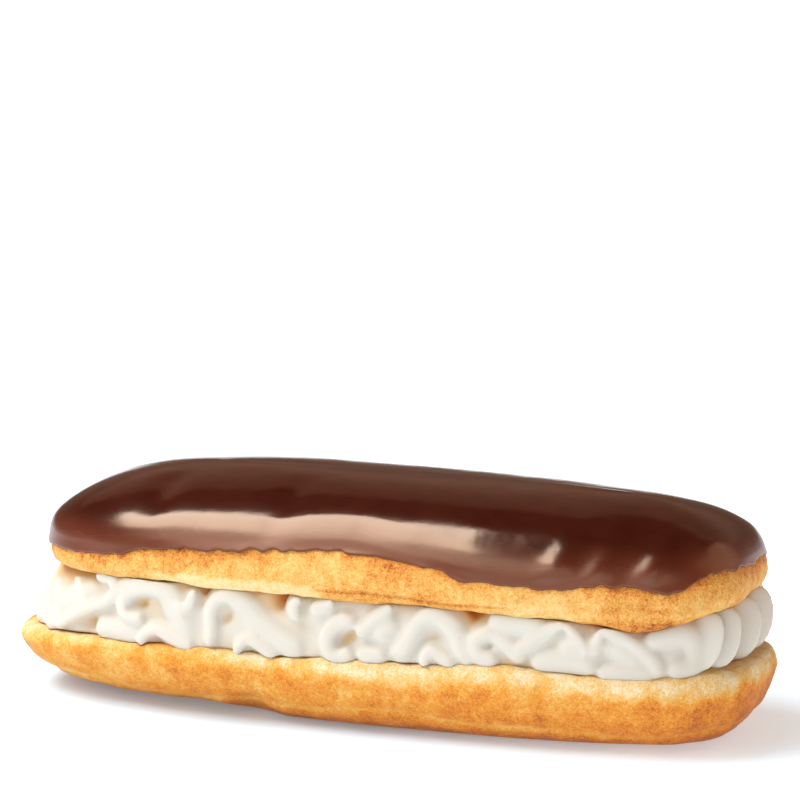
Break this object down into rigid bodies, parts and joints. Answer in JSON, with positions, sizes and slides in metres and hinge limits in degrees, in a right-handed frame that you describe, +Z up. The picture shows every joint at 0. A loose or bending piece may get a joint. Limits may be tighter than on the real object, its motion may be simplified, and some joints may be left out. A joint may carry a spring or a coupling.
{
  "type": "chocolate eclair",
  "caption": "Long choux bun cut through its middle, with piped whipped cream between the halves and a glossy chocolate coat on the lid.",
  "frame": {"origin": "centre of the footprint, on the surface that the eclair lies on", "axes": "+X along the bun to its right end, +Y from the front to the back, +Z up"},
  "size_m": [0.15, 0.0534, 0.0465],
  "materials": {
    "base_crust": "baked choux pastry, golden, with a pale cut edge",
    "cream": "soft whipped cream, smooth and off-white",
    "lid_crust": "baked choux pastry, golden and finely speckled",
    "chocolate": "set dark chocolate, satin gloss"
  },
  "bodies": {
    "root": {"choux_base": "base_crust", "cream_filling": "cream", "choux_lid": "lid_crust", "chocolate_icing": "chocolate"}
  },
  "joints": []
}
